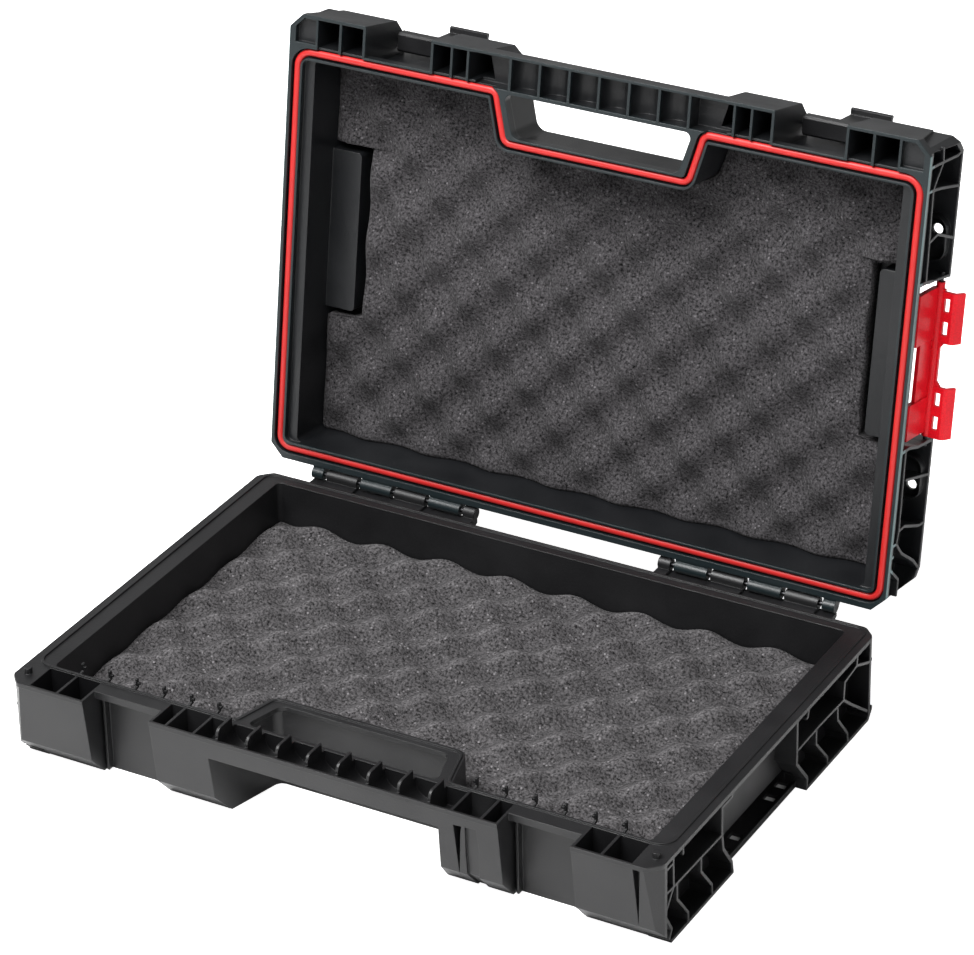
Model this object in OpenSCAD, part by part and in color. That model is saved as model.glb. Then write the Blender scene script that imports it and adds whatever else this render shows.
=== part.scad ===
// Hard tool case: two ribbed plastic shells on a rear hinge, foam lined, with a
// sealing cord in the lid, two front latches and two side clips.
// Millimetres. X runs left to right along the hinge, the handle is at -Y, the
// hinge at +Y, and the base stands on z = 0. The lid is drawn closed and then
// swung open about the hinge line.

/* [Case] */
// Overall width of both shells
case_w = 450; // [360:1:560]
// Front to back depth of the base shell
case_d = 300; // [260:1:360]
// Height of the base shell up to its rim
base_h = 60; // [50:1:90]
// Height of the lid shell above the rim
lid_h = 52; // [46:1:80]
// How far the lid overhangs the base at the back
lid_over = 5; // [4:0.5:8]
// Corner cut of both shells seen from above
corner_cut = 9.4; // [6:0.2:12]
// Angle the lid stands open at
lid_open = 99.4; // [60:0.2:110]
// Gap between the two rims when shut
rim_gap = 0.3; // [0.2:0.1:1]

/* [Walls] */
// Thickness of the moulded walls
wall = 2.5; // [2:0.1:4]
// Thickness of the outside ribs
rib_t = 1.8; // [1.4:0.1:3]
// Thickness of the rim flange
flange_t = 3; // [2:0.1:5]
// Depth of the ribbed zone along each side
side_zone = 15; // [12:0.5:20]
// Thickness of the walls round the front pockets
edge_t = 1.8; // [1.4:0.1:2.4]
// Front zone of the base from the front face back to the compartment
front_zone = 27; // [26.5:0.5:40]
// Back zone of the base from the compartment to the rim edge
back_zone = 10; // [8:0.5:16]
// Inward slope of the front face over its height
front_draft = 5.5; // [2:0.5:8]
// Size of the chamfer round the foot of the front and back
foot_chamfer = 13; // [8:0.5:16]
// Height of the foot recess in each side bay
bay_rise = 12.5; // [8:0.5:16]

/* [Handle] */
// Half width of the hand opening at its front
grip_half = 66.5; // [50:0.5:72]
// Narrowing of the hand opening from front to back, each side
grip_taper = 8; // [4:0.5:12]
// Depth of the handle bar behind the front face
bar_d = 25; // [20:0.5:30]
// Height of each half of the handle bar
bar_h = 15; // [12:0.5:20]
// Distance from the front face to the back of the hand opening
grip_back = 53; // [45:0.5:60]
// Pitch of the ribs inside the handle bar
bar_pitch = 21; // [16:0.5:26]
// Height of those ribs above the base rim
fin_h = 6.2; // [3:0.2:8]

/* [Front latches] */
// Distance of each latch from the middle of the case
latch_x = 144.7; // [120:0.5:170]
// Width of the recess for each latch
recess_w = 48.2; // [40:0.5:60]
// Width of the latch at its barrel
latch_w = 44; // [36:0.5:52]
// Width of the latch at its hook
latch_tip_w = 28; // [20:0.5:40]
// Height of the latch pivot above the rim
latch_up = 44; // [38:0.5:48]
// Distance of the latch pivot behind the front face
latch_in = 16.8; // [14:0.2:20]
// Depth of the latch body round its pin
latch_d = 12.8; // [10:0.2:13.6]
// Distance the rim flange stands out in the recess
catch_out = 14; // [12:0.5:16]
// Overlap of the hook under the flange
hook_in = 2.6; // [1.5:0.1:4]
// Height of the lip along the front of that flange
lip_h = 5; // [3:0.5:8]

/* [Side clips] */
// Height of the clip pivot above the rim
clip_up = 45; // [40:0.5:48]
// Radius of the clip barrel
clip_r = 2.8; // [2.4:0.1:3.4]
// Length of the flap below the pivot
clip_drop = 27; // [20:0.5:32]
// How far the wings stand out from the pivot
clip_out = 11; // [8:0.5:14]
// Front end of the clip barrel
clip_y0 = -47.5; // [-60:0.5:-40]
// Rear end of the clip barrel
clip_y1 = 50.5; // [40:0.5:60]
// Room between each clip and the inner wall of its pocket
clip_gap = 6.7; // [0.6:0.1:9]
// Height of the pocket floor above the rim
pocket_up = 36; // [34:0.5:42]

/* [Hinges] */
// Distance of the hinge line behind the base rim
hinge_back = 10; // [8:0.5:14]
// Height of the hinge line above the rim
hinge_up = 2.3; // [1.5:0.1:4]
// Radius of the hinge knuckles
knuckle_r = 4; // [3:0.1:4.3]
// Inner end of each hinge from the middle of the case
hinge_x = 67.5; // [40:0.5:90]
// Gap between neighbouring knuckles
knuckle_gap = 3; // [1:0.1:6]
// Hinge pin radius
pin_r = 1.5; // [1.2:0.1:2]
// Running clearance round each pin
pin_fit = 0.05; // [0.02:0.01:0.1]

/* [Seal] */
// Inset of the sealing cord from the case side
seal_side = 5.6; // [5:0.2:7]
// Distance of the sealing cord from the front face
seal_front = 25.2; // [24:0.2:28]
// Distance of the sealing cord from the base back edge
seal_back = 2.4; // [2:0.2:4]
// Width of the sealing cord
seal_w = 5.8; // [3:0.2:6.4]
// Thickness of the sealing cord
seal_t = 3.8; // [3:0.2:5]
// Clearance of the cord in its groove
seal_fit = 0.3; // [0.1:0.1:0.6]
// Wall between that groove and the lid compartment
lid_lip = 1.6; // [1:0.1:3]
// Height of the sealing rib on the base rim
tongue_h = 1; // [0.6:0.1:2]
// Width of the sealing rib
tongue_w = 1.6; // [1:0.1:2.4]

/* [Foam] */
// Thickness of the base foam over its crests
base_foam_t = 36; // [20:1:45]
// Depth of the hollows in the base foam
base_dip = 9; // [4:0.5:14]
// Thickness of the lid foam over its crests
lid_foam_t = 19; // [16:1:30]
// Depth of the hollows in the lid foam
lid_dip = 12; // [4:0.5:14]
// Pitch of the foam crests along the case
crate_x = 47.8; // [36:0.2:60]
// Pitch of the foam crests from front to back
crate_y = 45.8; // [36:0.2:60]
// Gap between the foam and the shell walls
foam_gap = 0.4; // [0.3:0.1:2]

/* [Hidden] */
$fn = 48;
eps = 0.01;
hw = case_w / 2;
y0 = -case_d / 2;
y1 = case_d / 2;
y1l = y1 + lid_over;
side_x = hw - side_zone;
cav_x = side_x - wall;
cav_y0 = y0 + front_zone;
cav_y1 = y1 - back_zone;
chan = seal_w / 2 + seal_fit;
lid_cav_y0 = y0 + seal_front + chan + lid_lip;
lid_cav_y1 = y1 - seal_back - chan - lid_lip;
hinge_y = y1 + hinge_back;
hinge_z = base_h + hinge_up;
grip_y0 = y0 + bar_d;
grip_y1 = y0 + grip_back;
// Plan of the blocks across the front: from the middle outwards
blk_in = latch_x - recess_w / 2;
blk_out = latch_x + recess_w / 2;
q_y = y0 + latch_in;
q_z = base_h + latch_up;
catch_y = y0 + catch_out;
plate_y = catch_y - 4.2;
hook_y = catch_y + hook_in;
// Outer end of the bar's last cells
bar_end = 88.5;
// Foot rail: outer edge, thickness, and its slots along the side
rail_x = hw - 7.5;
rail_t = 2.4;
slot_ys = [-36, -19.5, 28.5, 44];
peg_x = hw - 7.5;
peg_y = y0 + 13.5;
// Phase of the foam crests
crest_x = -5.2;
crest_y = -17;
ledge_z = hinge_z - knuckle_r - 0.6;
p_x = hw - 3;
p_z = base_h + clip_up;
pocket_x = p_x - clip_drop - clip_gap;
seal_x = hw - seal_side;
seal_y0 = y0 + seal_front;
seal_y1 = y1 - seal_back;
// Back corners of the seal round the hand opening, and its slope beside it
seal_nx0 = grip_half + 7.2;
seal_nx1 = grip_half - grip_taper + 6.8;
seal_ny = grip_y1 + 4.6;
seal_slope = (seal_nx0 - seal_nx1) / (seal_ny - seal_y0);
seal_pts = [[-seal_x, seal_y0], [-seal_nx0, seal_y0], [-seal_nx1, seal_ny],
    [seal_nx1, seal_ny], [seal_nx0, seal_y0], [seal_x, seal_y0],
    [seal_x, seal_y1], [-seal_x, seal_y1]];
seal_rs = [10, 5, 6, 6, 5, 10, corner_cut - 1.5, corner_cut - 1.5];
seal_z = base_h + tongue_h + rim_gap + seal_t / 2;
// Top of the cord's groove, and the roof over it
chan_top = seal_z + seal_t / 2 + 0.1;
chan_h = chan_top + 2;
// Back of the front pockets
cell_back = seal_y0 - tongue_w / 2 - 0.4;
// Gap of the compartment to the seal round the hand opening
notch_b = 2.5;
notch_l = chan + lid_lip;
grip_pts = [[-grip_half, grip_y0], [grip_half, grip_y0],
    [grip_half - grip_taper, grip_y1], [grip_taper - grip_half, grip_y1]];
// Hinge knuckles from the inner end outwards: start and length
kn_len = [8.5, 23, 23, 23, 23, 8.5];
function kn_at(i) = i == 0 ? hinge_x : kn_at(i - 1) + kn_len[i - 1] + knuckle_gap;
hinge_x1 = kn_at(5) + kn_len[5];

// ---------- helpers ----------
function unit(v) = v / norm(v);
function perp(v) = [-v[1], v[0]];
function mitre(p, i, t) = let (
    n = len(p),
    a = i > 0 ? unit(p[i] - p[i - 1]) : unit(p[1] - p[0]),
    b = i < n - 1 ? unit(p[i + 1] - p[i]) : a,
    m = unit(perp(a) + perp(b)))
    m * (t / 2) / (m * perp(a));
// A rib of even thickness along a bent line
module rib(p, t) {
    polygon(concat([for (i = [0:len(p) - 1]) p[i] + mitre(p, i, t)],
        [for (i = [len(p) - 1:-1:0]) p[i] - mitre(p, i, t)]));
}
// Lays a (y, z) outline across the case from x = a to x = b
module across(a, b) {
    translate([a, 0, 0]) rotate([90, 0, 90]) linear_extrude(b - a) children();
}
module both() {
    children();
    mirror([1, 0, 0]) children();
}
module round_rect(x0, yy0, x1, yy1, r) {
    translate([x0 + r, yy0]) square([x1 - x0 - 2 * r, yy1 - yy0]);
    translate([x0, yy0 + r]) square([x1 - x0, yy1 - yy0 - 2 * r]);
    for (x = [x0 + r, x1 - r], y = [yy0 + r, yy1 - r]) translate([x, y]) circle(r);
}
// Arc of radius r at point i of the closed line p, moved outwards by g
function corner(p, r, i, g) = let (
    n = len(p),
    a = unit(p[(i + n - 1) % n] - p[i]),
    b = unit(p[(i + 1) % n] - p[i]),
    h = acos(a * b) / 2,
    o = p[i] + unit(a + b) * (r / sin(h)),
    k = a[0] * b[1] - a[1] * b[0] < 0 ? 1 : -1,
    m = atan2(-(a + b)[1], -(a + b)[0]),
    c = max(2, ceil((90 - h) / 11)))
    [for (j = [-c:c]) let (u = m + k * (90 - h) * j / c) o + (r + k * g) * [cos(u), sin(u)]];
// Outline through the points p with corners of radius r, moved outwards by g
module soft(p, r, g = 0) {
    polygon([for (i = [0:len(p) - 1]) each corner(p, is_list(r) ? r[i] : r, i, g)]);
}
module seal_ring(w) {
    difference() {
        soft(seal_pts, seal_rs, w / 2);
        soft(seal_pts, seal_rs, -w / 2);
    }
}
// Space round the hand opening, inside the seal line moved outwards by g
module notch(g) {
    f = seal_nx1 + seal_slope * (seal_ny - y0 + 20);
    soft([[-f, y0 - 20], [f, y0 - 20], [seal_nx1, seal_ny], [-seal_nx1, seal_ny]],
        [1, 1, 6, 6], g);
}
// The hand opening at the rim
module grip_hole() {
    soft(grip_pts, [4, 4, 6, 6]);
}
// Compartment outline from ya to yb, n clear of the seal and widened by g
module compartment(ya, yb, n, g) {
    difference() {
        round_rect(-cav_x - g, ya - g, cav_x + g, yb + g, 3.5 + g);
        notch(n - g);
    }
}
module base_room(g) compartment(cav_y0, cav_y1, notch_b, g);
module lid_room(g) compartment(lid_cav_y0, lid_cav_y1, notch_l, g);
function cut_pts(yb, c) = [[-hw + c, y0], [hw - c, y0], [hw, y0 + c], [hw, yb - c],
    [hw - c, yb], [-hw + c, yb], [-hw, yb - c], [-hw, y0 + c]];
// Plan of a shell's body and of its rim flange, which is fuller at the corners
module body_plan(yb) soft(cut_pts(yb, corner_cut), 1.2);
module rim_plan(yb) soft(cut_pts(yb, corner_cut - 1.4), 6);
// Cut into the front face to the given depth, from an (x, z) outline
module front_cut(depth) {
    translate([0, y0 + depth, 0]) rotate([90, 0, 0]) linear_extrude(depth + 2) children();
}
module slab(z0, z1) {
    translate([0, 0, z0]) linear_extrude(z1 - z0) children();
}

// ---------- base shell ----------
base_prof = [[y0, base_h], [y0 + front_draft, foot_chamfer + 1.5],
    [y0 + front_draft + foot_chamfer, 0], [y1 - foot_chamfer + 2, 0],
    [y1 - 1, foot_chamfer - 1], [y1, base_h]];
base_side = [
    [[-129.6, 58], [-129, 37.5], [-140, 24]],
    [[-141, 38], [-129, 37.5], [-97, 36.8], [-65.3, 36]],
    [[-141, 54], [-130, 54]],
    [[-139, 22], [-131.4, 9.4], [-135, 3], [-135, 0]],
    [[-94, 37], [-93.9, 26.5], [-79.5, 8.5], [-79.3, 0]],
    [[-124.7, 37], [-124.6, 26], [-110.4, 8], [-110.3, 0]],
    [[-117.2, 58], [-117.2, 52.5]],
    [[50.7, 58], [49.2, 53], [47, 52.6]],
    [[34.5, 36.5], [67, 37], [101, 36]],
    [[61.8, 36.5], [62, 26], [78.7, 7], [79, 0]],
    [[92, 36.5], [93, 26], [107.5, 8.5], [109, 0]],
    [[101, 36], [102, 48.5], [119.3, 51], [136.5, 44], [142, 43.6]],
    [[120.2, 58], [119.3, 51]],
    [[101, 36], [112, 27], [137, 8]]];
bay_f = [[-54, 60], [-54, 55.2], [-66.8, 55.2], [-66.8, 37], [-65, 25], [-53.5, 9], [-52, 0]];
bay_b = [[34.5, 60], [34.6, 27], [50, 8.5], [50, 0]];
// Sizes along the side that follow the case depth and the rim height
ky = case_d / 300;
function fit(l, s) = [for (p = l) [p[0] * ky, p[1] * s]];
kz = base_h / 60;

module base_envelope(z0, z1) {
    intersection() {
        slab(z0, z1) body_plan(y1);
        across(-hw, hw) polygon(base_prof);
    }
}
// Cut that keeps the same depth d down the sloping front of the base
module sunk(d) {
    difference() {
        front_cut(24) children();
        translate([0, d, 0]) base_envelope(-2, base_h + 2);
    }
}
module side_ribs(list, s, prof, t) {
    across(side_x - eps, hw) intersection() {
        polygon(prof);
        union() for (l = list) rib(fit(l, s), t);
    }
}
// Pockets of the front blocks: [to x, from x]
base_cells = [[hw - 17, blk_out + 20.4], [blk_out + 18.6, blk_out + edge_t],
    [blk_in - edge_t, 110]];
// Pocket from the front face, whose wall is t thick below the top few millimetres
function cell_prof(t) = [[y0 + edge_t, base_h + 1], [y0 + edge_t, base_h - 5],
    [y0 + t + front_draft * 0.2, base_h - 8], [y0 + front_draft + t, foot_chamfer + 2.4],
    [y0 + front_draft + foot_chamfer + t, 3], [cell_back, 3], [cell_back, base_h + 1]];
module front_cells(cells, prof) {
    for (c = cells) both() across(c[1], c[0]) polygon(prof);
}
tooth_y = lid_cav_y0 + 0.6;
// Shell of the base before its fittings are added
module base_tub() {
    difference() {
        union() {
            // tub and rim
            difference() {
                union() {
                    base_envelope(0, base_h);
                    slab(base_h - flange_t, base_h) rim_plan(y1);
                }
                // side zones, front zone and back zone beside the tub
                both() across(side_x, hw + 1)
                    polygon([[y0 + 12.5, -1], [y1 - back_zone - wall + 1, -1],
                        [y1 - back_zone - wall + 1, base_h - flange_t],
                        [y0 + 12.5, base_h - flange_t]]);
                across(-hw - 1, hw + 1) translate([cav_y1 + wall, -1])
                    square([back_zone, base_h - flange_t + 1]);
            }
            // side ribs
            both() side_ribs(base_side, kz, base_prof, rib_t);
            both() side_ribs([bay_f, bay_b], kz, base_prof, rib_t + 0.4);
            // end plates and foot plates of the side zones
            both() across(side_x - eps, hw) intersection() {
                polygon(base_prof);
                translate([y1 - back_zone - 1.2, 0]) square([2.2, base_h]);
            }
            both() across(side_x - eps, hw) polygon([[y0 + 18, 0], [-51 * ky, 0],
                [-51 * ky, 2.2], [y0 + 18, 2.2]]);
            both() across(side_x - eps, hw) polygon([[49 * ky, 0],
                [y1 - foot_chamfer + 2, 0], [y1 - foot_chamfer + 7, 6],
                [y1 - foot_chamfer + 7, 8.6], [y1 - foot_chamfer, 2.2], [49 * ky, 2.2]]);
            // slotted foot rail across each side bay, and its standing edge
            both() across(side_x - 1, rail_x) polygon([[-52 * ky, 0], [50 * ky, 0],
                [50 * ky, rail_t], [-52 * ky, rail_t]]);
            both() across(rail_x - 1.2, rail_x) polygon([[-52 * ky, 0], [50 * ky, 0],
                [50 * ky, rail_t + 1.6], [-52 * ky, rail_t + 1.6]]);
            // back stiffeners under the rim
            both() for (x = [24, 52, 96, 130, 164, 198]) across(x, x + rib_t)
                polygon([[cav_y1 + wall - 1, 3], [cav_y1 + wall + 2, 3],
                    [y1 - 1.5, base_h - 16], [y1 - 1.5, base_h - 1], [cav_y1 + wall - 1, base_h - 1]]);
            // sealing rib that meets the cord
            slab(base_h - 0.5, base_h + tongue_h) seal_ring(tongue_w);
            // corner pegs
            both() translate([peg_x, peg_y, base_h - 1]) cylinder(r = 2.6, h = 5);
            base_knuckles();
        }
        // compartment, with a raised floor over each foot recess
        slab(3, base_h + 9) difference() {
            base_room(0);
            both() foot_block(0);
        }
        slab(bay_rise + wall, base_h + 9) base_room(0);
        // foot recess of each side bay
        both() translate([cav_x - 5, -50.5 * ky, rail_t])
            cube([rail_x - 1.2 - cav_x + 5, 99 * ky, bay_rise - rail_t]);
        both() for (y = slot_ys) translate([side_x - 3.5, (y - 3.5) * ky, -1])
            cube([7.5, 7 * ky, 5]);
        // hand well under the rim, and the hand opening through it
        slab(-1, base_h - bar_h) notch(notch_b - wall);
        slab(base_h - bar_h - 1, base_h - flange_t) intersection() {
            notch(notch_b - wall);
            translate([-hw, grip_y0]) square([case_w, 90]);
        }
        slab(-1, base_h + 5) grip_hole();
        // pockets open at the rim; the right inner one has a thicker front
        front_cells(base_cells, cell_prof(edge_t));
        mirror([1, 0, 0]) across(90.2, 108.2) polygon(cell_prof(edge_t));
        across(90.2, 108.2) polygon(cell_prof(5.4));
        // cells of the handle bar
        intersection() {
            bar_room(-1);
            union() {
                for (i = [-3:3]) bar_cell(-1, i * bar_pitch);
                both() translate([3.5 * bar_pitch + rib_t / 2, y0, base_h - bar_h])
                    cube([bar_end - 3.5 * bar_pitch - rib_t / 2, bar_d, bar_h + 2]);
            }
        }
        // latch recesses: below the flange, and the flange's own front
        both() translate([blk_in, y0 - 5, -1])
            cube([recess_w, cell_back - y0 + 5, base_h - flange_t + 1]);
        both() translate([blk_in, y0 - 5, base_h - 10]) cube([recess_w, catch_out + 5, 30]);
        // wedge slot and sunk panel in the right inner block
        front_cut(20) polygon([[90.4, base_h - 9.8], [96, base_h - 9.4], [95, base_h - 14],
            [91.4, base_h - 48]]);
        sunk(1.7) polygon([[98.2, base_h - 9.4], [105.8, base_h - 8.8], [106.4, base_h - 25],
            [103.4, -1], [96.6, -1], [97, base_h - 30]]);
        // wedge groove beside the right corner block
        front_cut(7) polygon([[hw - 16.1, base_h - 3], [hw - 11.5, base_h - 3], [hw - 14.8, 15]]);
        // groove round the underside
        slab(-1, 1.2) difference() {
            round_rect(-cav_x + 16, cav_y0 + 50, cav_x - 16, cav_y1 - 16, 8);
            round_rect(-cav_x + 20, cav_y0 + 54, cav_x - 20, cav_y1 - 20, 6);
        }
        pin_bores();
    }
}
module base_shell() color([0.09, 0.09, 0.1]) {
    base_tub();
    // drop edge of the flange in each latch recess, and the upright beside it
    both() translate([blk_in - eps, catch_y, base_h - lip_h])
        cube([recess_w + 2 * eps, 2.2, lip_h - eps]);
    both() for (x = [blk_in + 1.6, blk_out - 3.2])
        translate([x, catch_y + 5, 1]) cube([1.6, cell_back - catch_y - 4.9, base_h - flange_t - 5]);
    // rounded tops of the handle ribs, which reach into the lid
    both() for (i = [0:3]) translate([(i + 0.5) * bar_pitch - rib_t / 2, 0, 0])
        across(0, rib_t) intersection() {
            translate([y0 + 3.2, base_h - 3]) square([16.3, fin_h + 3]);
            union() {
                translate([y0 + 7.7, base_h + fin_h - 4.5]) circle(4.5);
                translate([y0 + 3.2, base_h - 3]) square([16.3, fin_h - 1.5]);
                translate([y0 + 7.7, base_h - 3]) square([16.3, fin_h + 3]);
            }
        }
    // small hooks along the front edge of the foam
    both() for (i = [0:5]) translate([89.7 + 19.8 * i, 0, 0]) {
        across(-0.7, 0.7) polygon([[cav_y0 - 1, base_h - 2.5], [tooth_y + 2, base_h - 1.2],
            [tooth_y + 2, base_h + 5], [tooth_y, base_h + 5], [tooth_y, base_h + 0.2],
            [cav_y0 - 1, base_h - 1]]);
        translate([-2.3, tooth_y, base_h + 1.4]) cube([2.4, 1.6, 1.6]);
    }
}
// Part of the compartment's foot that stays solid, widened by g
module foot_block(g) {
    translate([cav_x - 5 - wall - g, (-50.5 - wall) * ky - g])
        square([20, (99 + 2 * wall) * ky + 2 * g]);
}
// Space inside the handle bar, s = -1 below the rim, 1 above it
module bar_room(s) {
    e = base_h + s * (bar_h - 2);
    across(-hw, hw) polygon([[y0 + edge_t, base_h - s], [y0 + edge_t, base_h],
        [y0 + edge_t + 1.6, e], [grip_y0 - 2.5, e], [grip_y0 - 2.5, base_h - s]]);
}
// Cell of that space about x, rounded at its far end
module bar_cell(s, x) {
    r = (bar_pitch - rib_t) / 2;
    d = bar_h - 2 - r;
    translate([x, y0, base_h]) {
        translate([-r, 0, s > 0 ? -1 : -d]) cube([2 * r, bar_d, d + 1]);
        translate([0, bar_d, s * d]) rotate([90, 0, 0]) cylinder(r = r, h = bar_d);
    }
}
module base_knuckles() {
    both() for (i = [0, 2, 4]) translate([kn_at(i), 0, 0]) {
        translate([0, hinge_y, hinge_z]) rotate([0, 90, 0]) cylinder(r = knuckle_r, h = kn_len[i]);
        across(0, kn_len[i]) polygon([[cav_y1 + wall - 1, base_h - 12], [y1 - 1, base_h - 9],
            [hinge_y + 1.5, hinge_z - knuckle_r + 0.3], [hinge_y, hinge_z - 1],
            [hinge_y - knuckle_r + 0.4, base_h - 0.2], [y1 - 2, base_h - 0.2]]);
    }
    // ledge that joins the knuckles under the lid's own
    both() across(hinge_x, hinge_x1) polygon([[cav_y1 + wall - 1, base_h - 14],
        [y1 - 1, base_h - 10], [hinge_y + 1, ledge_z - 2.4], [hinge_y + 1, ledge_z],
        [cav_y1 + wall - 1, ledge_z]]);
}
module pin_bores() {
    both() translate([hinge_x - 1, hinge_y, hinge_z]) rotate([0, 90, 0])
        cylinder(r = pin_r, h = hinge_x1 - hinge_x + 2, $fn = 32);
}

// ---------- lid shell, drawn closed ----------
lz = base_h + rim_gap;
lt = base_h + lid_h;
kw = lid_h / 52;
lid_prof = [[y0, lz], [y0 + 4, base_h + 40 * kw], [y0 + 16, lt], [y1l - 15, lt],
    [y1l - 3, base_h + 42 * kw], [y1l, lz]];
lid_side = [
    [[-133.5, 2], [-133.2, 21.4], [-132.3, 44], [-134.5, 52]],
    [[-143, 19.4], [-133.2, 21.4], [-121.5, 12.2], [-118, 9.5], [-118, 2]],
    [[-118, 9.5], [-88, 11.5], [-59, 13]],
    [[-111.7, 51], [-116.5, 22.5], [-118, 9.5]],
    [[-78, 51], [-86.8, 24], [-84.4, 12]],
    [[48, 8.5], [103, 10.4], [111.3, 8.5], [110.8, 2]],
    [[103, 10.4], [102.3, 18.2], [109.3, 42.6], [109.4, 51]],
    [[111.3, 8.5], [120.5, 18.5], [131.9, 39.3], [139, 48]],
    [[119, 2], [118.9, 6.2]],
    [[126.3, 2], [137.7, 17.4], [149, 17.2]],
    [[77, 50], [70, 13]]];
lbay_f = [[-59, 2], [-58.5, 14], [-56, 27], [-53.6, 52]];
lbay_b = [[49, 2], [49, 14], [52, 27], [54, 52]];
function lift(l) = [for (p = l) [p[0] * ky, base_h + p[1] * kw]];
module lid_ribs(list, x0, t) {
    across(x0, hw) intersection() {
        polygon(lid_prof);
        union() for (l = list) rib(lift(l), t);
    }
}
lid_cells = [[hw - 21, blk_out + 19.4], [blk_out + 17.6, blk_out + edge_t],
    [blk_in - edge_t, 106.2], [104.6, 94.4]];
top_in = lt - wall;
lid_room_x = seal_x - chan - lid_lip;
function side_cell(z) = [[y0 + 8, z], [y0 + 10, base_h + 40 * kw], [y0 + 18, top_in],
    [y1l - 17, top_in], [y1l - 6, base_h + 40 * kw], [y1l - 4.5, z]];
function bay(z) = [[-57 * ky, z], [-56 * ky, base_h + 27 * kw],
    [-52.6 * ky, lt + 1], [53 * ky, lt + 1], [51 * ky, base_h + 27 * kw],
    [48 * ky, base_h + 14 * kw], [48 * ky, z]];
lid_cell_prof = [[y0 + edge_t + 0.2, base_h - 1], [y0 + 6.2, base_h + 40 * kw - 1],
    [y0 + 17, top_in], [seal_y0 - chan - 1.4, top_in], [seal_y0 - chan - 1.4, base_h + 2.6],
    [seal_y0 - 1, base_h + 2.6], [seal_y0 - 1, base_h - 1]];
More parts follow.
